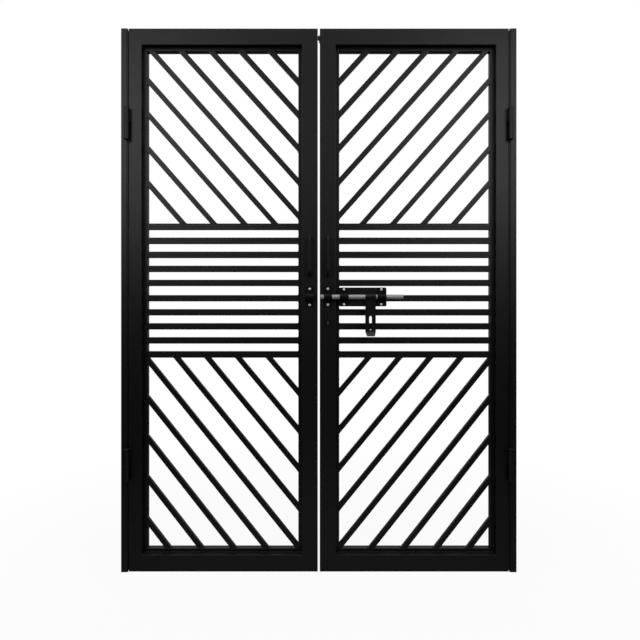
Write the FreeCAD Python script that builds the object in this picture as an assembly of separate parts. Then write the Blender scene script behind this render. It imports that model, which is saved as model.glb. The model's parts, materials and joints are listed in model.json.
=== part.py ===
import FreeCAD, Part
import math
import os

# Double-leaf steel security screen door with barred grilles, barrel hinges and a padlock bolt.
# Millimetres. X runs across the doorway from the left wall, Y away from the viewer, Z up from the floor.
# The origin lies on the wall face of the left jamb, at floor level and half way through its depth.

# Doorway and leaves
DOOR_HEIGHT = 2100.0
FLOOR_GAP = 2.0
HINGE_GAP = 6.0
MEETING_GAP = 8.0
OPENING_WIDTH = 590.0
FRAME_DEPTH = 50.0

# Jambs
JAMB_FACE = 24.0
JAMB_WALL = 2.0

# Stepped hollow profile of the leaf frames
HINGE_FACE = 50.0
MEETING_FACE = 62.0
TOP_FACE = 63.0
BOTTOM_FACE = 65.0
LIP_WIDTH = 14.0
STEP_DEPTH = 24.0
FRAME_WALL = 1.5
FRAME_RADIUS = 2.0

# Grille bars
BAR_DEPTH = 15.0
BAR_WALL = 1.2
BAR_RADIUS = 1.5
HORIZONTAL_BAR = 25.0
DIAGONAL_BAR = 20.0
LOCK_HEIGHT = 1088.0
LOCK_SPACE = 60.0
BAR_PITCH = 55.0
BARS_PER_GROUP = 5
UPPER_PITCH = 118.0
UPPER_SPREAD = 3.4
UPPER_ANGLE = 48.3
UPPER_SHIFT = 23.0
LOWER_PITCH = 124.0
LOWER_SPREAD = 7.2
LOWER_ANGLE = 51.2
LOWER_SHIFT = -1.5
SHORTEST_BAR = 80.0

# Barrel hinges
UPPER_HINGE_DROP = 370.0
LOWER_HINGE_RISE = 418.0
BARREL_RADIUS = 10.0
BARREL_STANDOFF = 5.0
KNUCKLE_LENGTH = 63.0
KNUCKLE_GAP = 0.5
KNUCKLE_BEVEL = 1.5
PIN_RADIUS = 5.0
PIN_LENGTH = 45.0
PIN_CLEARANCE = 0.08
PIN_END_GAP = 2.0
SADDLE_WIDTH = 8.0
SADDLE_MARGIN = 6.0

# Pull handles
PULL_RISE = 158.0
PULL_LENGTH = 155.0
PULL_RADIUS = 6.0
PULL_REACH = 42.0
PULL_BEND = 18.0

# Padlock bolt
BOLT_RISE = 5.0
ROD_RADIUS = 9.0
ROD_BEVEL = 1.5
ROD_SETBACK = 1.0
ROD_OVERRUN = 2.5
ROD_TAIL = 7.5
ROD_STANDOFF = 17.0
GUIDE_CLEARANCE = 0.3
KEEPER_CLEARANCE = 2.0
GUIDE_THICKNESS = 2.5
STILE_GUIDE_HEIGHT = 78.0
PLATE_GUIDE_HEIGHT = 70.0
GUIDE_CORNER = 4.0
STILE_GUIDE_WIDTH = 31.0
PLATE_GUIDE_WIDTH = 34.0
PLATE_MARGIN = 1.5
PLATE_OVERRUN = 3.0
PLATE_THICKNESS = 3.0
PLATE_RADIUS = 6.0
PACKER_MARGIN = 19.0
PACKER_WALL = 2.0

# Hasp handle on the bolt
COLLAR_LENGTH = 40.0
COLLAR_GAP = 6.0
COLLAR_RADIUS = 10.5
NECK_RADIUS = 7.5
NECK_CLEARANCE = 0.08
NECK_END_GAP = 0.3
HASP_THICKNESS = 4.0
HASP_LENGTH = 150.0
HASP_CORNER = 3.0
HASP_TAPER = 5.0
HASP_TIP = 17.0
HASP_TIP_ANGLE = 42.0
SLOT_START = 73.0
SLOT_LENGTH = 54.0
SLOT_WIDTH = 10.0

# Padlock eye and meeting buffer
EYE_DROP = 103.0
EYE_WIRE = 3.0
EYE_RADIUS = 8.0
EYE_REACH = 12.0
BUFFER_DROP = 32.0
BUFFER_HEIGHT = 13.0
BUFFER_DEPTH = 30.0
BUFFER_THICKNESS = 3.0
BUFFER_RADIUS = 1.0

# Places worked out from the sizes above
FRONT = -FRAME_DEPTH / 2
BACK = FRAME_DEPTH / 2
LIP_FRONT = FRONT + STEP_DEPTH
LEAF_START = JAMB_FACE + HINGE_GAP
HINGE_STEP = LEAF_START + HINGE_FACE
OPENING_START = HINGE_STEP + LIP_WIDTH
OPENING_END = OPENING_START + OPENING_WIDTH
MEETING_STEP = OPENING_END + LIP_WIDTH
LEAF_END = MEETING_STEP + MEETING_FACE
CENTRE = LEAF_END + MEETING_GAP / 2
OPENING_BOTTOM = FLOOR_GAP + BOTTOM_FACE + LIP_WIDTH
OPENING_TOP = DOOR_HEIGHT - TOP_FACE - LIP_WIDTH
GROUP_REACH = LOCK_SPACE / 2 + (BARS_PER_GROUP - 1) * BAR_PITCH + HORIZONTAL_BAR / 2
HINGE_X = JAMB_FACE + HINGE_GAP / 2
HINGE_Y = FRONT - BARREL_STANDOFF - BARREL_RADIUS
STILE_MIDDLE = MEETING_STEP + MEETING_FACE / 2
BOLT_Y = FRONT - ROD_STANDOFF
LOCK_BAR = LOCK_HEIGHT - LOCK_SPACE / 2
BOLT_HEIGHT = LOCK_BAR + BOLT_RISE
RIGHT_EDGE = CENTRE + MEETING_GAP / 2
RIGHT_STILE_MIDDLE = 2 * CENTRE - STILE_MIDDLE
PLATE_START = 2 * CENTRE - OPENING_END
ROD_TIP = RIGHT_EDGE + ROD_SETBACK
BOLT_TRAVEL = ROD_TIP - (STILE_MIDDLE - STILE_GUIDE_WIDTH / 2 - ROD_OVERRUN)
PLATE_LENGTH = 2 * PLATE_GUIDE_WIDTH + 2 * COLLAR_GAP + COLLAR_LENGTH + BOLT_TRAVEL
PLATE_END = PLATE_START + PLATE_LENGTH
ROD_LENGTH = PLATE_END + ROD_TAIL - ROD_TIP + BOLT_TRAVEL
COLLAR_START = PLATE_START + PLATE_GUIDE_WIDTH + COLLAR_GAP + BOLT_TRAVEL - ROD_TIP

FULL_TURN = 360.0
TOLERANCE = 0.001
ACROSS = FreeCAD.Vector(1, 0, 0)
DEEP = FreeCAD.Vector(0, 1, 0)
UP = FreeCAD.Vector(0, 0, 1)


def save(shape, name):
    shape.exportStep(os.path.join("parts", name + ".step"))


def mirrored(shape):
    return shape.mirror(FreeCAD.Vector(CENTRE, 0, 0), ACROSS)


def polygon_prism(points, sweep):
    wire = Part.makePolygon(points + [points[0]])
    return Part.Face(wire).extrude(sweep)


def box(low, high):
    size = FreeCAD.Vector(*high) - FreeCAD.Vector(*low)
    return Part.makeBox(size.x, size.y, size.z, FreeCAD.Vector(*low))


def edges_along(shape, direction):
    found = []
    for edge in shape.Edges:
        line = edge.lastVertex().Point - edge.firstVertex().Point
        if line.Length > TOLERANCE and line.cross(direction).Length < TOLERANCE:
            found.append(edge)
    return found


def rounded(shape, radius, direction):
    return shape.makeFillet(radius, edges_along(shape, direction))


def hollow_bar(low, high, wall, radius, direction):
    # A rectangular tube with rounded corners and open ends, running along one of the axes.
    outer = rounded(box(low, high), radius, direction)
    inset = (FreeCAD.Vector(1, 1, 1) - direction) * wall
    return outer.cut(box(FreeCAD.Vector(*low) + inset, FreeCAD.Vector(*high) - inset))


def step_profile(face, inset):
    # Section of the leaf frame, as pairs of width from its outer edge and depth from its front.
    return [
        (inset, inset),
        (face - inset, inset),
        (face - inset, STEP_DEPTH + inset),
        (face + LIP_WIDTH - inset, STEP_DEPTH + inset),
        (face + LIP_WIDTH - inset, FRAME_DEPTH - inset),
        (inset, FRAME_DEPTH - inset),
    ]


def frame_member(start, inward, sweep, face, mitre):
    # One length of the stepped profile, hollow and cut to its mitres.
    def prism(inset):
        points = [start + inward * width + DEEP * depth for width, depth in step_profile(face, inset)]
        return polygon_prism(points, sweep)

    along = FreeCAD.Vector(sweep).normalize()
    tube = rounded(prism(0.0), FRAME_RADIUS, along).cut(prism(FRAME_WALL))
    outline = [FreeCAD.Vector(x, FRONT, z) for x, z in mitre]
    return tube.common(polygon_prism(outline, DEEP * FRAME_DEPTH))


def corner(outer, step, opening, level):
    # The three points of a frame corner, from the outside in.
    return [(outer, level[0]), (step, level[1]), (opening, level[2])]


def leaf_frame():
    bottom = (FLOOR_GAP, FLOOR_GAP + BOTTOM_FACE, OPENING_BOTTOM)
    top = (DOOR_HEIGHT, DOOR_HEIGHT - TOP_FACE, OPENING_TOP)
    hinge_bottom = corner(LEAF_START, HINGE_STEP, OPENING_START, bottom)
    hinge_top = corner(LEAF_START, HINGE_STEP, OPENING_START, top)
    meeting_bottom = corner(LEAF_END, MEETING_STEP, OPENING_END, bottom)
    meeting_top = corner(LEAF_END, MEETING_STEP, OPENING_END, top)
    height = UP * (DOOR_HEIGHT - FLOOR_GAP)
    width = ACROSS * (LEAF_END - LEAF_START)
    low_hinge = FreeCAD.Vector(LEAF_START, FRONT, FLOOR_GAP)
    low_meeting = FreeCAD.Vector(LEAF_END, FRONT, FLOOR_GAP)
    high_hinge = FreeCAD.Vector(LEAF_START, FRONT, DOOR_HEIGHT)
    return {
        "hinge_stile": frame_member(low_hinge, ACROSS, height, HINGE_FACE,
                                    hinge_bottom + hinge_top[::-1]),
        "meeting_stile": frame_member(low_meeting, -ACROSS, height, MEETING_FACE,
                                      meeting_bottom + meeting_top[::-1]),
        "bottom_rail": frame_member(low_hinge, UP, width, BOTTOM_FACE,
                                    hinge_bottom + meeting_bottom[::-1]),
        "top_rail": frame_member(high_hinge, -UP, width, TOP_FACE,
                                 hinge_top + meeting_top[::-1]),
    }


def bar_heights():
    above = [LOCK_HEIGHT + LOCK_SPACE / 2 + i * BAR_PITCH for i in range(BARS_PER_GROUP)]
    below = [LOCK_HEIGHT - LOCK_SPACE / 2 - i * BAR_PITCH for i in range(BARS_PER_GROUP)]
    return above + below


def horizontal_bar(height):
    low = (OPENING_START, LIP_FRONT, height - HORIZONTAL_BAR / 2)
    high = (OPENING_END, LIP_FRONT + BAR_DEPTH, height + HORIZONTAL_BAR / 2)
    return hollow_bar(low, high, BAR_WALL, BAR_RADIUS, ACROSS)


def diagonal_bars(bottom, top, pitch, spread, angle, shift):
    # Bars that fall from the hinge side to the meeting side, each a little flatter than the last.
    panel = box((OPENING_START, LIP_FRONT, bottom), (OPENING_END, LIP_FRONT + BAR_DEPTH, top))
    middle_x = OPENING_START + OPENING_WIDTH / 2 + shift
    middle_z = (bottom + top) / 2
    reach = math.hypot(OPENING_WIDTH, top - bottom)
    low = (-reach, LIP_FRONT, -DIAGONAL_BAR / 2)
    high = (reach, LIP_FRONT + BAR_DEPTH, DIAGONAL_BAR / 2)
    blank = hollow_bar(low, high, BAR_WALL, BAR_RADIUS, ACROSS)
    copies = math.ceil(reach / pitch)
    bars = []
    for index in range(-copies, copies + 1):
        place = middle_x + index * pitch
        run = (top - bottom) / math.tan(math.radians(angle)) + index * spread
        start = max(place - run / 2, OPENING_START)
        end = min(place + run / 2, OPENING_END)
        slope = math.atan2(top - bottom, run)
        if (end - start) / math.cos(slope) >= SHORTEST_BAR:
            bar = blank.rotated(FreeCAD.Vector(0, 0, 0), DEEP, math.degrees(slope))
            bars.append(bar.translated(FreeCAD.Vector(place, 0, middle_z)).common(panel))
    return Part.makeCompound(bars)


def grille():
    return {
        "upper_diagonal_bars": diagonal_bars(LOCK_HEIGHT + GROUP_REACH, OPENING_TOP,
                                             UPPER_PITCH, UPPER_SPREAD, UPPER_ANGLE, UPPER_SHIFT),
        "middle_bars": Part.makeCompound([horizontal_bar(height) for height in bar_heights()]),
        "lower_diagonal_bars": diagonal_bars(OPENING_BOTTOM, LOCK_HEIGHT - GROUP_REACH,
                                             LOWER_PITCH, LOWER_SPREAD, LOWER_ANGLE, LOWER_SHIFT),
    }


def turned(profile, base, direction):
    # A solid of revolution from pairs of radius and distance along its axis.
    points = [base + DEEP * radius + direction * distance for radius, distance in profile]
    face = Part.Face(Part.makePolygon(points + [points[0]]))
    return face.revolve(base, direction, FULL_TURN)


def saddle(low_z, high_z, edge, outward):
    # Welded foot between a knuckle and the flat face beside the gap.
    low = (min(edge, edge + outward * SADDLE_WIDTH), HINGE_Y, low_z + SADDLE_MARGIN)
    high = (max(edge, edge + outward * SADDLE_WIDTH), FRONT, high_z - SADDLE_MARGIN)
    return box(low, high)


def jamb_knuckle(height):
    # Lower half of a barrel hinge, with its pin.
    base = FreeCAD.Vector(HINGE_X, HINGE_Y, height - KNUCKLE_GAP / 2 - KNUCKLE_LENGTH)
    top = KNUCKLE_LENGTH
    profile = [
        (0, 0),
        (BARREL_RADIUS - KNUCKLE_BEVEL, 0),
        (BARREL_RADIUS, KNUCKLE_BEVEL),
        (BARREL_RADIUS, top),
        (PIN_RADIUS, top),
        (PIN_RADIUS, top + PIN_LENGTH - KNUCKLE_BEVEL),
        (PIN_RADIUS - KNUCKLE_BEVEL, top + PIN_LENGTH),
        (0, top + PIN_LENGTH),
    ]
    barrel = turned(profile, base, UP)
    return barrel.fuse(saddle(base.z, base.z + top, JAMB_FACE, -1)).removeSplitter()


def leaf_knuckle(height):
    # Upper half of a barrel hinge, with a blind hole for the pin.
    base = FreeCAD.Vector(HINGE_X, HINGE_Y, height + KNUCKLE_GAP / 2)
    top = KNUCKLE_LENGTH
    hole = PIN_RADIUS + PIN_CLEARANCE
    depth = PIN_LENGTH + PIN_END_GAP
    profile = [
        (0, depth),
        (hole, depth),
        (hole, 0),
        (BARREL_RADIUS, 0),
        (BARREL_RADIUS, top - KNUCKLE_BEVEL),
        (BARREL_RADIUS - KNUCKLE_BEVEL, top),
        (0, top),
    ]
    foot = saddle(base.z, base.z + top, LEAF_START, 1)
    bore = Part.makeCylinder(hole, depth, base, UP)
    return turned(profile, base, UP).fuse(foot).cut(bore).removeSplitter()


def pull_handle():
    # Bow pull bent from round bar, with both ends on the face of the meeting stile.
    height = BOLT_HEIGHT + PULL_RISE
    half = PULL_LENGTH / 2 - PULL_RADIUS
    grip = FRONT - PULL_REACH + PULL_RADIUS
    ends = []
    for side in (-1, 1):
        ends.append([
            FreeCAD.Vector(STILE_MIDDLE, FRONT, height + side * half),
            FreeCAD.Vector(STILE_MIDDLE, grip + PULL_BEND, height + side * half),
            FreeCAD.Vector(STILE_MIDDLE, grip, height + side * (half - PULL_BEND)),
        ])
    edges = []
    for side, (foot, leg, turn) in zip((-1, 1), ends):
        hub = FreeCAD.Vector(STILE_MIDDLE, leg.y, turn.z)
        middle = hub + (UP * side - DEEP).normalize() * PULL_BEND
        edges += [Part.LineSegment(foot, leg).toShape(), Part.Arc(leg, middle, turn).toShape()]
    edges.append(Part.LineSegment(ends[0][2], ends[1][2]).toShape())
    path = Part.Wire(Part.__sortEdges__(edges))
    section = Part.Wire(Part.makeCircle(PULL_RADIUS, ends[0][0], DEEP))
    return path.makePipeShell([section], True, False)


def bolt_guide(middle, width, height, base, clearance):
    # Hat-shaped strap that holds the rod, with a flat foot above and below.
    bore = ROD_RADIUS + clearance
    crown = bore + GUIDE_THICKNESS
    low_x = middle - width / 2
    high_x = middle + width / 2
    axis = FreeCAD.Vector(low_x, BOLT_Y, BOLT_HEIGHT)
    feet = box((low_x, base - GUIDE_THICKNESS, BOLT_HEIGHT - height / 2),
               (high_x, base, BOLT_HEIGHT + height / 2))
    feet = rounded(feet, GUIDE_CORNER, DEEP)
    walls = box((low_x, BOLT_Y, BOLT_HEIGHT - crown), (high_x, base, BOLT_HEIGHT + crown))
    throat = box((low_x, BOLT_Y, BOLT_HEIGHT - bore), (high_x, base, BOLT_HEIGHT + bore))
    outside = feet.fuse(walls).fuse(Part.makeCylinder(crown, width, axis, ACROSS))
    return outside.cut(throat).cut(Part.makeCylinder(bore, width, axis, ACROSS)).removeSplitter()


def bolt_plate():
    half = PLATE_GUIDE_HEIGHT / 2 + PLATE_MARGIN
    low = (PLATE_START - PLATE_OVERRUN, FRONT - PLATE_THICKNESS, BOLT_HEIGHT - half)
    high = (PLATE_END + PLATE_OVERRUN, FRONT, BOLT_HEIGHT + half)
    return rounded(box(low, high), PLATE_RADIUS, DEEP)


def bolt_packer():
    # Short tube that carries the plate level with the frame face, in front of the bar below the lock space.
    low = (PLATE_START + PACKER_MARGIN, FRONT, LOCK_BAR - HORIZONTAL_BAR / 2)
    high = (PLATE_END - PACKER_MARGIN, LIP_FRONT, LOCK_BAR + HORIZONTAL_BAR / 2)
    return hollow_bar(low, high, PACKER_WALL, BAR_RADIUS, ACROSS)


def bolt_rod():
    # Round rod with a turned neck for the collar of the handle.
    neck_start = COLLAR_START - NECK_END_GAP
    neck_end = COLLAR_START + COLLAR_LENGTH + NECK_END_GAP
    profile = [
        (0, 0),
        (ROD_RADIUS - ROD_BEVEL, 0),
        (ROD_RADIUS, ROD_BEVEL),
        (ROD_RADIUS, neck_start),
        (NECK_RADIUS, neck_start),
        (NECK_RADIUS, neck_end),
        (ROD_RADIUS, neck_end),
        (ROD_RADIUS, ROD_LENGTH - ROD_BEVEL),
        (ROD_RADIUS - ROD_BEVEL, ROD_LENGTH),
        (0, ROD_LENGTH),
    ]
    return turned(profile, FreeCAD.Vector(ROD_TIP, BOLT_Y, BOLT_HEIGHT), ACROSS)


def hasp_handle():
    # Collar on the rod with a slotted plate that hangs below it and turns out at the tip.
    start = ROD_TIP + COLLAR_START
    end = start + COLLAR_LENGTH
    middle = (start + end) / 2
    axis = FreeCAD.Vector(start, BOLT_Y, BOLT_HEIGHT)
    half = HASP_THICKNESS / 2
    bend = BOLT_HEIGHT - HASP_LENGTH + HASP_TIP
    lean = HASP_TIP * math.tan(math.radians(HASP_TIP_ANGLE))
    tip = bend - HASP_TIP
    side = [
        (BOLT_Y - half, BOLT_HEIGHT),
        (BOLT_Y + half, BOLT_HEIGHT),
        (BOLT_Y + half, bend),
        (BOLT_Y + half - lean, tip),
        (BOLT_Y - half - lean, tip),
        (BOLT_Y - half, bend),
    ]
    blade = polygon_prism([FreeCAD.Vector(start, y, z) for y, z in side], ACROSS * COLLAR_LENGTH)
    outline = [
        (start, BOLT_HEIGHT),
        (end, BOLT_HEIGHT),
        (end, bend),
        (end - HASP_TAPER, tip),
        (start + HASP_TAPER, tip),
        (start, bend),
    ]
    depth = DEEP * (HASP_THICKNESS + lean)
    blank = polygon_prism([FreeCAD.Vector(x, BOLT_Y - half - lean, z) for x, z in outline], depth)
    lower_edges = [edge for edge in edges_along(blank, DEEP) if edge.CenterOfMass.z < (bend + tip) / 2]
    blade = blade.common(blank.makeFillet(HASP_CORNER, lower_edges))
    slot_high = BOLT_HEIGHT - SLOT_START - SLOT_WIDTH / 2
    slot_low = slot_high - SLOT_LENGTH + SLOT_WIDTH
    slot = box((middle - SLOT_WIDTH / 2, BOLT_Y - half, slot_low),
               (middle + SLOT_WIDTH / 2, BOLT_Y + half, slot_high))
    for slot_end in (slot_low, slot_high):
        round_end = FreeCAD.Vector(middle, BOLT_Y - half, slot_end)
        slot = slot.fuse(Part.makeCylinder(SLOT_WIDTH / 2, HASP_THICKNESS, round_end, DEEP))
    collar = Part.makeCylinder(COLLAR_RADIUS, COLLAR_LENGTH, axis, ACROSS)
    bore = Part.makeCylinder(NECK_RADIUS + NECK_CLEARANCE, COLLAR_LENGTH, axis, ACROSS)
    return blade.cut(slot).fuse(collar).cut(bore).removeSplitter()


def padlock_eye():
    # Bent round bar with both legs on the face of the right meeting stile.
    bend = FreeCAD.Vector(RIGHT_STILE_MIDDLE, FRONT - EYE_REACH, BOLT_HEIGHT - EYE_DROP)
    ring = Part.makeTorus(EYE_RADIUS, EYE_WIRE, bend, ACROSS)
    reach = EYE_RADIUS + EYE_WIRE
    front_half = box((bend.x - EYE_WIRE, bend.y - reach, bend.z - reach),
                     (bend.x + EYE_WIRE, bend.y, bend.z + reach))
    eye = ring.common(front_half)
    for side in (-1, 1):
        foot = bend + UP * (side * EYE_RADIUS)
        eye = eye.fuse(Part.makeCylinder(EYE_WIRE, EYE_REACH, foot, DEEP))
    return eye.removeSplitter()


def meeting_buffer():
    height = DOOR_HEIGHT - BUFFER_DROP
    low = (RIGHT_EDGE - BUFFER_THICKNESS, -BUFFER_DEPTH / 2, height - BUFFER_HEIGHT / 2)
    high = (RIGHT_EDGE, BUFFER_DEPTH / 2, height + BUFFER_HEIGHT / 2)
    return rounded(box(low, high), BUFFER_RADIUS, DEEP)


def jamb():
    return hollow_bar((0, FRONT, 0), (JAMB_FACE, BACK, DOOR_HEIGHT), JAMB_WALL, FRAME_RADIUS, UP)


def save_pair(shape, name):
    save(shape, "left_" + name)
    save(mirrored(shape), "right_" + name)


os.makedirs("parts", exist_ok=True)
save_pair(jamb(), "jamb")
for level, height in (("upper", DOOR_HEIGHT - UPPER_HINGE_DROP), ("lower", LOWER_HINGE_RISE)):
    save_pair(jamb_knuckle(height), level + "_jamb_knuckle")
    save_pair(leaf_knuckle(height), level + "_leaf_knuckle")
for pieces in (leaf_frame(), grille()):
    for name, shape in pieces.items():
        save_pair(shape, name)
save_pair(pull_handle(), "pull_handle")
for name, middle, clearance in (
    ("left_bolt_keeper", STILE_MIDDLE, KEEPER_CLEARANCE),
    ("right_stile_bolt_guide", RIGHT_STILE_MIDDLE, GUIDE_CLEARANCE),
):
    save(bolt_guide(middle, STILE_GUIDE_WIDTH, STILE_GUIDE_HEIGHT, FRONT, clearance), name)
for name, middle in (
    ("inner_bolt_guide", PLATE_START + PLATE_GUIDE_WIDTH / 2),
    ("outer_bolt_guide", PLATE_END - PLATE_GUIDE_WIDTH / 2),
):
    base = FRONT - PLATE_THICKNESS
    save(bolt_guide(middle, PLATE_GUIDE_WIDTH, PLATE_GUIDE_HEIGHT, base, GUIDE_CLEARANCE), name)
save(bolt_plate(), "bolt_plate")
save(bolt_packer(), "bolt_packer")
save(bolt_rod(), "bolt_rod")
save(hasp_handle(), "hasp_handle")
save(padlock_eye(), "padlock_eye")
save(meeting_buffer(), "meeting_buffer")
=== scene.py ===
import json
import math
import random

import bmesh
import bpy
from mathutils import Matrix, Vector


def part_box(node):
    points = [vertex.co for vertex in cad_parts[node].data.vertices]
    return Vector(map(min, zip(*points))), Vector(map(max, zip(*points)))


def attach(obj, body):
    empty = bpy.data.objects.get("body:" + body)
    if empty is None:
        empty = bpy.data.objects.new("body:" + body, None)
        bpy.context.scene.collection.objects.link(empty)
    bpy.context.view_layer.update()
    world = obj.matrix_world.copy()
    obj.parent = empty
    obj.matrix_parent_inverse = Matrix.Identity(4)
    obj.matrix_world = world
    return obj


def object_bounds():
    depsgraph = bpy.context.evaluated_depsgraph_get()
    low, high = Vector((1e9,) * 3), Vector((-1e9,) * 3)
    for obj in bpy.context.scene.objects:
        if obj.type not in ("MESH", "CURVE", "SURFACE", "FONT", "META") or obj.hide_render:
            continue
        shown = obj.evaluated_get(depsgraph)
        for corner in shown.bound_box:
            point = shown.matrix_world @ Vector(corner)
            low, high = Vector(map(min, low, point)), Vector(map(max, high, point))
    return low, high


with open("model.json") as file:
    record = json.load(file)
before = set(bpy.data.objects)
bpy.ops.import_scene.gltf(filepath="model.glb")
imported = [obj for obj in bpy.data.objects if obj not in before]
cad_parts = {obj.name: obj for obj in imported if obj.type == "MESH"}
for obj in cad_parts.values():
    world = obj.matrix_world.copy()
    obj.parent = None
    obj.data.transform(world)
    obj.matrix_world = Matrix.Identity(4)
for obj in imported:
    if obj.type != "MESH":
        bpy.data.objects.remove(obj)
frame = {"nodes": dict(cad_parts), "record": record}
cad_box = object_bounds()
nodes = frame["nodes"]

# Lengths are in metres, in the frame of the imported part. The lens and sensor are in millimetres.

# Camera, from the photograph's viewpoint
CAMERA_PLACE = (0.764, -2.025, 1.050)
CAMERA_LENS = 29.14
CAMERA_SENSOR = 36.0
IMAGE_SIZE = 640
AXIS_PIXEL = (318.78, 300.31)

# Lamps
LAMP_PLACE = (-0.82, -2.69, 2.54)
LAMP_TARGET = (0.35, 0.0, 1.60)
LAMP_SIZE = 1.63
LAMP_POWER = 48.0
TOP_LAMP_PLACE = (0.764, -0.40, 3.40)
TOP_LAMP_TARGET = (0.764, 0.0, 0.9)
TOP_LAMP_SIZE = 1.0
TOP_LAMP_POWER = 30.0

# Surroundings: even light, and what gloss sees from in front of the door round to behind it
AMBIENT = 0.10
STUDIO_TURN = (-0.70, 0.10)
STUDIO_TONES = (0.04, 1.0)

# Floor: where its tone fades with distance, and the share of plain white that the camera sees there
FLOOR_HALF = 9.0
FLOOR_FADE = (0.5, 2.0)
FLOOR_PALE = 0.62
FLOOR_DIM = 0.14
FLOOR_GRAIN = 1.06
FLOOR_GRAIN_SCALE = 300.0
FLOOR_WHITE = (0.94, 1.0)

# Ranges of a noise value that are stretched into a pattern
FULL = (0.0, 1.0)
NOISE_CORE = (0.35, 0.65)
NOISE_WIDE = (0.3, 0.7)

# Paint: scales of its patterns, heights of its bumps, dust with painted top light, and the soft edge of the
# coat
BROAD_SCALE = 4.0
BROAD_SHARE = 0.6
SPECKLE_SCALE = 1300.0
SPECKLE_TO_PEEL = 0.3
WAVE_SCALE = 11.0
WAVE_HEIGHT = 0.0006
PATCH_SCALE = 55.0
PATCH_RANGE = (0.35, 0.7)
# Lighter tone on upward faces: partly dust, partly painted top light
DUST_AND_TOP_LIGHT_TONE = 0.015
DUST_AND_TOP_LIGHT_WARMTH = 0.04
DUST_AND_TOP_LIGHT_SLOPE = (0.2, 1.0)
DUST_AND_TOP_LIGHT_COVER = (0.0, 0.5)
DUST_AND_TOP_LIGHT_PATCHES = (0.2, 1.0)
EDGE_RADIUS = 0.0007
EDGE_SAMPLES = 4
BODY_ROUGHNESS = 0.9

# Tones from dark to light, and scale and height of the orange peel
FRAME_TONES = (0.0010, 0.0018)
HARDWARE_TONES = (0.0007, 0.0013)
# Lighter tones that paint a highlight onto the padlock eye
EYE_HIGHLIGHT_TONES = (0.0040, 0.0080)
FRAME_PEEL = (900.0, 0.00006)
HARDWARE_PEEL = (1000.0, 0.00004)

# Plated steel
BOLT_TONES = (0.19, 0.32)
BOLT_GRAIN = (35.0, 900.0, 900.0)
SCREW_TONES = (0.45, 0.66)
SCREW_GRAIN = (700.0, 700.0, 700.0)
STREAK_SHARE = 0.55
STREAK_HEIGHT = 0.00003
CLOUD_SCALE = 260.0
PLATE_WARMTH = 0.01
PLATE_METAL = 0.8
PLATE_GLOSS_SPAN = 0.07

# Rubber
RUBBER_TONES = (0.006, 0.014)
RUBBER_ROUGHNESS = (0.72, 0.85)
RUBBER_GRAIN_SCALE = 1800.0
RUBBER_GRAIN_HEIGHT = 0.00005
RUBBER_BLOOM_SCALE = 120.0

# Screws with a domed head and a cross recess
GUIDE_THICKNESS = 0.0025
STILE_SCREW_INSET = 0.0083
PLATE_SCREW_INSET = 0.0064
SCREW_RADIUS = 0.0053
SCREW_HEIGHT = 0.0030
SCREW_SKIRT = 0.0003
SCREW_RINGS = 18
SCREW_TURNS = 48
DOME_POWER = 4
RING_CROWDING = 0.9
CROSS_LENGTH = 0.0028
CROSS_WIDTH = 0.0006
CROSS_DEPTH = 0.0011
CROSS_SLOPE = 0.6

# Weld beads, and the radii of the round bars that they ring
BAR_BEAD = 0.0022
HINGE_BEAD = 0.0026
FOOT_BEAD = 0.0026
EYE_BEAD = 0.0020
PULL_RADIUS = 0.006
EYE_RADIUS = 0.003
BEAD_STEP = 0.0011
BEAD_LEAST_STEPS = 4
BEAD_RIPPLE = 0.0026
BEAD_SWELL = 0.10
BEAD_UNEVEN = 0.05
BEAD_END = 0.15
BEAD_FULLNESS = 8
BEAD_ARC = 5
BEAD_SINK = 0.0004

# Soft nose on the meeting buffer and strips in the hinge gaps
NOSE_GAP = 0.0003
NOSE_RISE = 0.004
NOSE_DEPTH = 0.013
NOSE_STEPS = 16
NOSE_EDGE = 0.0010
NOSE_END = 0.8
STRIP_WIDTH = 0.0029
STRIP_SETBACK = 0.003
STRIP_DEPTH = 0.003

# Limits for reading points of the solids
SAME_POINT = 1e-6
ON_FACE = 1e-5
SORT_PLACES = 5
CUT_CORNERS = 4
LEAST_RUN = 0.3

FULL_TURN = 2 * math.pi
FRONTWARD = Vector((0, -1, 0))
BACKWARD = Vector((0, 1, 0))

# Chance in the beads and in the turn of the screws
DICE_SEED = 7
dice = random.Random(DICE_SEED)


def add_node(tree, kind, inputs=None, **settings):
    made = tree.nodes.new(kind)
    for name, value in settings.items():
        setattr(made, name, value)
    for key, value in (inputs or {}).items():
        set_socket(tree, made.inputs[key], value)
    return made


def set_socket(tree, socket, value):
    if isinstance(value, bpy.types.NodeSocket):
        tree.links.new(value, socket)
    else:
        socket.default_value = value


def feed(tree, shader, **sockets):
    for name, value in sockets.items():
        set_socket(tree, shader.inputs[name.replace("_", " ")], value)


def noise(tree, place, scale, detail, roughness=0.5):
    made = add_node(tree, "ShaderNodeTexNoise",
                    {"Vector": place, "Scale": scale, "Detail": detail, "Roughness": roughness})
    return made.outputs["Fac"]


def spread(tree, value, source, target):
    # Stretches one range of values over another.
    made = add_node(tree, "ShaderNodeMapRange",
                    {"Value": value, "From Min": source[0], "From Max": source[1],
                     "To Min": target[0], "To Max": target[1]})
    return made.outputs["Result"]


def math_node(tree, operation, first, second):
    made = add_node(tree, "ShaderNodeMath", {0: first, 1: second}, operation=operation)
    return made.outputs["Value"]


def shared(tree, first, second, share):
    # Sum of two patterns, with the first one's share of it.
    return math_node(tree, "ADD", math_node(tree, "MULTIPLY", first, share),
                     math_node(tree, "MULTIPLY", second, 1 - share))


def mixed(tree, share, first, second):
    made = add_node(tree, "ShaderNodeMix", {"Factor": share, "A": first, "B": second}, data_type="RGBA")
    return made.outputs["Result"]


def grey(value, warmth=0.0):
    return (value * (1 + warmth), value, value * (1 - warmth), 1.0)


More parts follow.
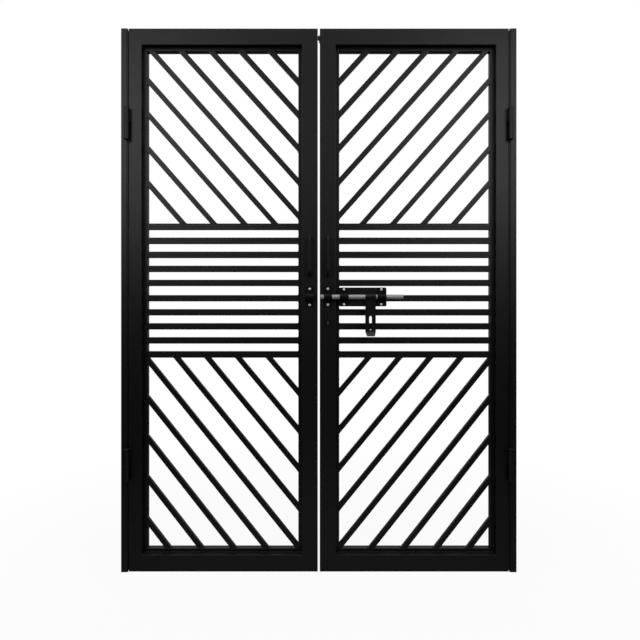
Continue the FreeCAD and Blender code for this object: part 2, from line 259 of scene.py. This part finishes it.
def bumped(tree, height, distance, normal):
    made = add_node(tree, "ShaderNodeBump",
                    {"Height": height, "Distance": distance, "Strength": 1.0, "Normal": normal})
    return made.outputs["Normal"]


def surface_normal(tree):
    return add_node(tree, "ShaderNodeNewGeometry").outputs["Normal"]


def new_tree(owner):
    owner.use_nodes = True
    owner.node_tree.nodes.clear()
    return owner.node_tree


def new_material(name):
    material = bpy.data.materials.new(name)
    tree = new_tree(material)
    output = add_node(tree, "ShaderNodeOutputMaterial")
    shader = add_node(tree, "ShaderNodeBsdfPrincipled")
    tree.links.new(shader.outputs["BSDF"], output.inputs["Surface"])
    return material, tree, shader


def paint(name, tones, rough, sheen, peel):
    # Black coat over steel: broad tone, speckle, orange peel, waves of thin tube, and dust with painted top
    # light on upward faces.
    material, tree, shader = new_material(name)
    coords = add_node(tree, "ShaderNodeTexCoord")
    place = coords.outputs["Object"]
    peel_scale, peel_height = peel
    broad = noise(tree, place, BROAD_SCALE, detail=3.0)
    speckle = noise(tree, place, SPECKLE_SCALE, detail=2.0)
    grain = noise(tree, place, peel_scale, detail=2.0)
    wave = noise(tree, place, WAVE_SCALE, detail=1.0)
    patch = noise(tree, place, PATCH_SCALE, detail=4.0, roughness=0.6)
    tone = spread(tree, shared(tree, broad, speckle, BROAD_SHARE), NOISE_CORE, FULL)
    colour = mixed(tree, tone, grey(tones[0]), grey(tones[1]))
    up = add_node(tree, "ShaderNodeSeparateXYZ", {"Vector": coords.outputs["Normal"]}).outputs["Z"]
    # Upward faces are mixed towards a lighter tone in patches: dust, and painted top light that makes the
    # tops lighter.
    dust_and_top_light = math_node(tree, "MULTIPLY", spread(tree, up, DUST_AND_TOP_LIGHT_SLOPE, DUST_AND_TOP_LIGHT_COVER),
                     spread(tree, patch, PATCH_RANGE, DUST_AND_TOP_LIGHT_PATCHES))
    colour = mixed(tree, dust_and_top_light, colour, grey(DUST_AND_TOP_LIGHT_TONE, DUST_AND_TOP_LIGHT_WARMTH))
    edge = add_node(tree, "ShaderNodeBevel", {"Radius": EDGE_RADIUS}, samples=EDGE_SAMPLES)
    normal = bumped(tree, wave, WAVE_HEIGHT, edge.outputs["Normal"])
    normal = bumped(tree, grain, peel_height, normal)
    normal = bumped(tree, speckle, peel_height * SPECKLE_TO_PEEL, normal)
    feed(tree, shader, Base_Color=colour, Roughness=BODY_ROUGHNESS, Normal=normal, Specular_IOR_Level=0.0)
    feed(tree, shader, Coat_Weight=sheen, Coat_Roughness=rough, Coat_Normal=normal)
    return material


def plated(name, tones, rough, grain):
    # Plated steel with a cloudy crystal tone and fine scratches across its grain.
    material, tree, shader = new_material(name)
    coords = add_node(tree, "ShaderNodeTexCoord").outputs["Object"]
    drawn = add_node(tree, "ShaderNodeMapping", {"Vector": coords, "Scale": grain}).outputs["Vector"]
    streak = noise(tree, drawn, 1.0, detail=4.0, roughness=0.65)
    cloud = noise(tree, coords, CLOUD_SCALE, detail=3.0, roughness=0.6)
    tone = shared(tree, streak, cloud, STREAK_SHARE)
    colour = mixed(tree, spread(tree, tone, NOISE_CORE, FULL),
                   grey(tones[0], -PLATE_WARMTH), grey(tones[1], PLATE_WARMTH))
    gloss = spread(tree, tone, NOISE_WIDE, (rough + PLATE_GLOSS_SPAN, rough - PLATE_GLOSS_SPAN))
    normal = bumped(tree, streak, STREAK_HEIGHT, surface_normal(tree))
    feed(tree, shader, Base_Color=colour, Roughness=gloss, Normal=normal, Metallic=PLATE_METAL)
    return material


def rubber(name):
    # Matt black rubber with a faint mould grain.
    material, tree, shader = new_material(name)
    coords = add_node(tree, "ShaderNodeTexCoord").outputs["Object"]
    grain = noise(tree, coords, RUBBER_GRAIN_SCALE, detail=2.0)
    bloom = noise(tree, coords, RUBBER_BLOOM_SCALE, detail=3.0)
    colour = mixed(tree, bloom, grey(RUBBER_TONES[0]), grey(RUBBER_TONES[1]))
    gloss = spread(tree, bloom, NOISE_WIDE, RUBBER_ROUGHNESS)
    normal = bumped(tree, grain, RUBBER_GRAIN_HEIGHT, surface_normal(tree))
    feed(tree, shader, Base_Color=colour, Roughness=gloss, Normal=normal)
    return material


FINISH = {
    "frame_paint": paint("frame_paint", FRAME_TONES, rough=0.41, sheen=0.38, peel=FRAME_PEEL),
    "hardware_paint": paint("hardware_paint", HARDWARE_TONES, rough=0.42, sheen=0.32, peel=HARDWARE_PEEL),
    "bolt_steel": plated("bolt_steel", BOLT_TONES, rough=0.64, grain=BOLT_GRAIN),
    "buffer_rubber": rubber("buffer_rubber"),
}
SCREW_FINISH = plated("screw_zinc", SCREW_TONES, rough=0.43, grain=SCREW_GRAIN)
PULL_FINISH = paint("pull_paint", FRAME_TONES, rough=0.62, sheen=0.38, peel=FRAME_PEEL)
# Padlock eye: its lighter tones are a painted highlight, and its strong coat catches the lamps.
EYE_FINISH = paint("eye_highlight_paint", EYE_HIGHLIGHT_TONES, rough=0.40, sheen=0.90, peel=HARDWARE_PEEL)
GUIDE_FINISH = paint("guide_paint", HARDWARE_TONES, rough=0.52, sheen=0.17, peel=HARDWARE_PEEL)

# Nodes with a finish of their own
NODE_FINISH = {
    "left_pull_handle": PULL_FINISH,
    "right_pull_handle": PULL_FINISH,
    "padlock_eye": EYE_FINISH,
    "left_bolt_keeper": GUIDE_FINISH,
    "right_stile_bolt_guide": GUIDE_FINISH,
    "inner_bolt_guide": GUIDE_FINISH,
    "outer_bolt_guide": GUIDE_FINISH,
}


def finish_node(obj, material):
    obj.data.materials.clear()
    obj.data.materials.append(material)


def new_piece(name, mesh, body, material, smooth=True):
    data = bpy.data.meshes.new(name)
    bmesh.ops.recalc_face_normals(mesh, faces=mesh.faces)
    mesh.to_mesh(data)
    mesh.free()
    for face in data.polygons:
        face.use_smooth = smooth
    obj = bpy.data.objects.new(name, data)
    bpy.context.scene.collection.objects.link(obj)
    data.materials.append(material)
    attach(obj, body)


def close_tube(mesh, rings):
    # Faces between rings of equal count, and a cap at each end.
    count = len(rings[0])
    for here, there in zip(rings, rings[1:]):
        for step in range(count):
            after = (step + 1) % count
            mesh.faces.new((here[step], here[after], there[after], there[step]))
    mesh.faces.new(rings[0])
    mesh.faces.new(rings[-1])


def screw_height(radius, angle):
    # Height of a pan head at a point, with a cross recess in its middle.
    share = radius / SCREW_RADIUS
    dome = SCREW_HEIGHT * (1 - share ** DOME_POWER) ** 0.5
    along = abs(radius * math.cos(angle))
    beside = abs(radius * math.sin(angle))
    if min(along, beside) < CROSS_WIDTH and max(along, beside) < CROSS_LENGTH:
        return dome - CROSS_DEPTH * (1 - CROSS_SLOPE * max(along, beside) / CROSS_LENGTH)
    return dome


def screw(name, place, turn, body):
    # Round headed screw that faces the viewer.
    mesh = bmesh.new()
    top = mesh.verts.new(place + FRONTWARD * screw_height(0.0, 0.0))
    rings = []
    for ring in range(1, SCREW_RINGS + 1):
        radius = SCREW_RADIUS * (ring / SCREW_RINGS) ** RING_CROWDING
        verts = []
        for step in range(SCREW_TURNS):
            angle = FULL_TURN * step / SCREW_TURNS
            x = radius * math.cos(angle + turn)
            z = radius * math.sin(angle + turn)
            verts.append(mesh.verts.new(place + Vector((x, -screw_height(radius, angle), z))))
        rings.append(verts)
    foot = [mesh.verts.new(vert.co + BACKWARD * SCREW_SKIRT) for vert in rings[-1]]
    rings.append(foot)
    for step in range(SCREW_TURNS):
        after = (step + 1) % SCREW_TURNS
        mesh.faces.new((top, rings[0][step], rings[0][after]))
        for inner, outer in zip(rings, rings[1:]):
            mesh.faces.new((inner[step], outer[step], outer[after], inner[after]))
    mesh.faces.new(foot)
    new_piece(name, mesh, body, SCREW_FINISH)


def bead(mesh, path, first, second, radius):
    # Rippled weld bead along a row of points, in the corner between two directions at each of them.
    rings = []
    length = sum((b - a).length for a, b in zip(path, path[1:]))
    phase = dice.uniform(0, FULL_TURN)
    for index, point in enumerate(path):
        share = index / (len(path) - 1)
        taper = max(BEAD_END, 1 - abs(2 * share - 1) ** BEAD_FULLNESS) ** 0.5
        ripple = BEAD_SWELL * math.sin(phase + FULL_TURN * length * share / BEAD_RIPPLE)
        size = radius * taper * (1 + ripple + dice.uniform(-BEAD_UNEVEN, BEAD_UNEVEN))
        verts = [mesh.verts.new(point - (first[index] + second[index]) * BEAD_SINK)]
        for step in range(BEAD_ARC + 1):
            turn = step / BEAD_ARC
            way = (first[index] * (1 - turn) + second[index] * turn).normalized()
            verts.append(mesh.verts.new(point + way * size))
        rings.append(verts)
    close_tube(mesh, rings)


def straight_bead(mesh, start, end, first, second, radius):
    steps = max(BEAD_LEAST_STEPS, round((end - start).length / BEAD_STEP))
    path = [start.lerp(end, i / steps) for i in range(steps + 1)]
    bead(mesh, path, [first] * len(path), [second] * len(path), radius)


def ring_bead(mesh, centre, radius, size):
    # Weld around the foot of a round bar that stands on a front face.
    steps = round(FULL_TURN * radius / BEAD_STEP)
    angles = [FULL_TURN * i / steps for i in range(steps + 1)]
    outward = [Vector((math.cos(angle), 0, math.sin(angle))) for angle in angles]
    path = [centre + way * radius for way in outward]
    bead(mesh, path, outward, [FRONTWARD] * len(path), size)


def linked_points(first, left):
    # Points joined to one point, taken out of those that are left, and the edges between them.
    group = set()
    edges = set()
    queue = [first]
    while queue:
        vert = queue.pop()
        group.add(vert)
        for edge in vert.link_edges:
            edges.add(edge)
            other = edge.other_vert(vert)
            if other in left:
                left.remove(other)
                queue.append(other)
    return group, edges


def sort_place(point):
    return (round(point.x, SORT_PLACES), round(point.z, SORT_PLACES))


def islands(node):
    # Points and the way of the longest edge of each separate solid in a node, in order across the door.
    mesh = bmesh.new()
    mesh.from_mesh(nodes[node].data)
    bmesh.ops.remove_doubles(mesh, verts=mesh.verts, dist=SAME_POINT)
    left = set(mesh.verts)
    found = []
    while left:
        group, edges = linked_points(left.pop(), left)
        longest = max(edges, key=lambda edge: edge.calc_length())
        way = (longest.verts[1].co - longest.verts[0].co).normalized()
        found.append(([vert.co.copy() for vert in group], way))
    mesh.free()
    return sorted(found, key=lambda island: tuple(min(island[0], key=sort_place)))


def unit(axis, sign):
    way = Vector((0, 0, 0))
    way[axis] = sign
    return way


def bar_end_beads(mesh, corner, axis, span, inward, bar_way, front):
    # Beads behind and beside one cut end of a bar, on the panel edge that it meets.
    other = 2 - axis
    start = corner.copy()
    start[other] = span[0]
    end = corner.copy()
    end[other] = span[1]
    straight_bead(mesh, start, end, unit(axis, inward), BACKWARD, BAR_BEAD)
    for place, outward in ((start, unit(other, -1.0)), (end, unit(other, 1.0))):
        near = place.copy()
        near.y = front + 2 * BAR_BEAD
        straight_bead(mesh, near, place, outward, bar_way, BAR_BEAD)


def bar_welds(node, body):
    # Beads at the ends of each bar, where they meet the edges of their panel.
    mesh = bmesh.new()
    low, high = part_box(node)
    for points, way in islands(node):
        for axis in (0, 2):
            for level, inward in ((low[axis], 1.0), (high[axis], -1.0)):
                cut = [p[2 - axis] for p in points if abs(p[axis] - level) < ON_FACE]
                if abs(way[axis]) < LEAST_RUN or len(cut) < CUT_CORNERS:
                    continue
                bar_way = way if way[axis] * inward > 0 else -way
                corner = Vector((0, high.y, 0))
                corner[axis] = level
                bar_end_beads(mesh, corner, axis, (min(cut), max(cut)), inward, bar_way, low.y)
    new_piece("welds_" + node, mesh, body, FINISH["frame_paint"])


def hinge_welds(node, body):
    # Beads along the free sides of a knuckle's foot.
    low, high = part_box(node)
    mesh = bmesh.new()
    points = [p for p in islands(node)[0][0] if abs(p.y - high.y) < ON_FACE]
    foot_low = Vector(map(min, zip(*points)))
    foot_high = Vector(map(max, zip(*points)))
    outer = -1.0 if foot_low.x - low.x < high.x - foot_high.x else 1.0
    edge = foot_low.x if outer < 0 else foot_high.x
    straight_bead(mesh, Vector((edge, high.y, foot_low.z)), Vector((edge, high.y, foot_high.z)),
                  unit(0, outer), FRONTWARD, HINGE_BEAD)
    for level, up in ((foot_low.z, -1.0), (foot_high.z, 1.0)):
        straight_bead(mesh, Vector((foot_low.x, high.y, level)), Vector((foot_high.x, high.y, level)),
                      unit(2, up), FRONTWARD, HINGE_BEAD)
    new_piece("welds_" + node, mesh, body, FINISH["frame_paint"])


def foot_welds(node, body, radius, size):
    # Rings around the two feet of a bent round bar.
    low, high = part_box(node)
    mesh = bmesh.new()
    for level in (low.z + radius, high.z - radius):
        ring_bead(mesh, Vector(((low.x + high.x) / 2, high.y, level)), radius, size)
    new_piece("welds_" + node, mesh, body, FINISH["hardware_paint"])


def guide_screws(guide, body, inset):
    # A screw in the middle of each foot of a bolt guide.
    low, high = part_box(guide)
    for level, height in (("upper", high.z - inset), ("lower", low.z + inset)):
        seat = Vector(((low.x + high.x) / 2, high.y - GUIDE_THICKNESS, height))
        screw("screw_" + guide + "_" + level, seat, dice.uniform(0, math.pi), body)


def buffer_nose():
    # Half round rubber over the front of the pad, which closes the meeting gap just short of the other leaf.
    low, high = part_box("meeting_buffer")
    reach = high.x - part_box("left_meeting_stile")[1].x - NOSE_GAP
    top = high.z + NOSE_RISE
    middle = low.y + NOSE_DEPTH / 2
    turns = [math.pi * step / NOSE_STEPS for step in range(NOSE_STEPS + 1)]
    levels = ((low.z, NOSE_END), (low.z + NOSE_EDGE, 1.0), (top - NOSE_EDGE, 1.0), (top, NOSE_END))
    mesh = bmesh.new()
    rings = []
    for level, share in levels:
        ring = []
        for turn in turns:
            x = high.x - reach * share * math.sin(turn)
            y = middle - NOSE_DEPTH / 2 * share * math.cos(turn)
            ring.append(mesh.verts.new((x, y, level)))
        rings.append(ring)
    close_tube(mesh, rings)
    new_piece("buffer_nose", mesh, "right_leaf", FINISH["buffer_rubber"])


def gap_strip(side):
    # Thin flat bar on the jamb that narrows the gap beside the leaf.
    low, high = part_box(side + "_jamb")
    inner = high.x if side == "left" else low.x - STRIP_WIDTH
    start = Vector((inner, low.y + STRIP_SETBACK, low.z))
    size = Vector((STRIP_WIDTH, STRIP_DEPTH, high.z - low.z))
    mesh = bmesh.new()
    bmesh.ops.create_cube(mesh, size=1.0)
    for vert in mesh.verts:
        vert.co = start + (vert.co + Vector((0.5, 0.5, 0.5))) * size
    new_piece(side + "_gap_strip", mesh, "jambs", FINISH["frame_paint"], smooth=False)


def floor_paper(centre):
    # Pale paper that fades with distance from the door and looks white to the camera.
    material = bpy.data.materials.new("floor_paper")
    tree = new_tree(material)
    coords = add_node(tree, "ShaderNodeTexCoord").outputs["Object"]
    away = add_node(tree, "ShaderNodeVectorMath", {0: coords, 1: (centre.x, centre.y, 0.0)},
                    operation="DISTANCE")
    fade = spread(tree, away.outputs["Value"], FLOOR_FADE, FULL)
    grain = noise(tree, coords, FLOOR_GRAIN_SCALE, detail=3.0)
    pale = mixed(tree, grain, grey(FLOOR_PALE), grey(FLOOR_PALE * FLOOR_GRAIN))
    diffuse = add_node(tree, "ShaderNodeBsdfDiffuse", {"Color": mixed(tree, fade, pale, grey(FLOOR_DIM))})
    glow = add_node(tree, "ShaderNodeEmission", {"Color": grey(1.0), "Strength": 1.0})
    seen = add_node(tree, "ShaderNodeLightPath").outputs["Is Camera Ray"]
    share = math_node(tree, "MULTIPLY", seen, spread(tree, fade, FULL, FLOOR_WHITE))
    blend = add_node(tree, "ShaderNodeMixShader",
                     {0: share, 1: diffuse.outputs["BSDF"], 2: glow.outputs["Emission"]})
    output = add_node(tree, "ShaderNodeOutputMaterial")
    tree.links.new(blend.outputs["Shader"], output.inputs["Surface"])
    return material


def floor():
    # Level ground under the door that keeps its shadow.
    mesh = bpy.data.meshes.new("floor")
    centre = (cad_box[0] + cad_box[1]) / 2
    corners = [(centre.x + x * FLOOR_HALF, centre.y + y * FLOOR_HALF, 0.0)
               for x, y in ((-1, -1), (1, -1), (1, 1), (-1, 1))]
    mesh.from_pydata(corners, [], [(0, 1, 2, 3)])
    obj = bpy.data.objects.new("floor", mesh)
    bpy.context.scene.collection.objects.link(obj)
    mesh.materials.append(floor_paper(centre))


def across(place):
    # The same place on the other side of the door's middle.
    return (cad_box[0].x + cad_box[1].x - place[0],) + place[1:]


def lamp(name, place, target, size, power):
    data = bpy.data.lights.new(name, "AREA")
    data.shape = "SQUARE"
    data.size = size
    data.energy = power
    obj = bpy.data.objects.new(name, data)
    obj.location = place
    obj.rotation_euler = (Vector(target) - Vector(place)).to_track_quat("-Z", "Y").to_euler()
    obj.visible_camera = False
    bpy.context.scene.collection.objects.link(obj)


def surroundings():
    # White all round for the camera, white behind the door for gloss, and a low even light.
    world = bpy.data.worlds.new("studio")
    bpy.context.scene.world = world
    tree = new_tree(world)
    path = add_node(tree, "ShaderNodeLightPath")
    way = add_node(tree, "ShaderNodeTexCoord").outputs["Generated"]
    deep = add_node(tree, "ShaderNodeSeparateXYZ", {"Vector": way}).outputs["Y"]
    studio = spread(tree, deep, STUDIO_TURN, STUDIO_TONES)
    mirror = math_node(tree, "MAXIMUM", path.outputs["Is Glossy Ray"], path.outputs["Is Transmission Ray"])
    reflected = math_node(tree, "MULTIPLY", mirror, studio)
    lit = math_node(tree, "MULTIPLY", math_node(tree, "SUBTRACT", 1.0, mirror), AMBIENT)
    level = math_node(tree, "MAXIMUM", path.outputs["Is Camera Ray"], math_node(tree, "ADD", reflected, lit))
    background = add_node(tree, "ShaderNodeBackground", {"Color": grey(1.0), "Strength": level})
    output = add_node(tree, "ShaderNodeOutputWorld")
    tree.links.new(background.outputs["Background"], output.inputs["Surface"])


def camera():
    data = bpy.data.cameras.new("camera")
    data.lens = CAMERA_LENS
    data.sensor_width = CAMERA_SENSOR
    data.shift_x = (IMAGE_SIZE / 2 - AXIS_PIXEL[0]) / IMAGE_SIZE
    data.shift_y = (AXIS_PIXEL[1] - IMAGE_SIZE / 2) / IMAGE_SIZE
    obj = bpy.data.objects.new("camera", data)
    obj.location = CAMERA_PLACE
    obj.rotation_euler = (math.pi / 2, 0, 0)
    bpy.context.scene.collection.objects.link(obj)
    bpy.context.scene.camera = obj


# Finish of the solids
for part in frame["record"]["subparts"]:
    finish_node(nodes[part["node"]], NODE_FINISH.get(part["node"], FINISH[part["material_slot"]]))

# Welds
for side in ("left", "right"):
    leaf = side + "_leaf"
    for panel in ("upper_diagonal_bars", "middle_bars", "lower_diagonal_bars"):
        bar_welds(side + "_" + panel, leaf)
    for level in ("upper", "lower"):
        hinge_welds(side + "_" + level + "_leaf_knuckle", leaf)
        hinge_welds(side + "_" + level + "_jamb_knuckle", "jambs")
    foot_welds(side + "_pull_handle", leaf, PULL_RADIUS, FOOT_BEAD)
foot_welds("padlock_eye", "right_leaf", EYE_RADIUS, EYE_BEAD)

# Screws
guide_screws("left_bolt_keeper", "left_leaf", STILE_SCREW_INSET)
guide_screws("right_stile_bolt_guide", "right_leaf", STILE_SCREW_INSET)
guide_screws("inner_bolt_guide", "right_leaf", PLATE_SCREW_INSET)
guide_screws("outer_bolt_guide", "right_leaf", PLATE_SCREW_INSET)

# Trim in the gaps
buffer_nose()
for side in ("left", "right"):
    gap_strip(side)

# Stage, lamps and camera
floor()
lamp("lamp_left", LAMP_PLACE, LAMP_TARGET, LAMP_SIZE, LAMP_POWER)
lamp("lamp_right", across(LAMP_PLACE), across(LAMP_TARGET), LAMP_SIZE, LAMP_POWER)
lamp("lamp_top", TOP_LAMP_PLACE, TOP_LAMP_TARGET, TOP_LAMP_SIZE, TOP_LAMP_POWER)
surroundings()
camera()
bpy.context.scene.view_settings.view_transform = "Standard"
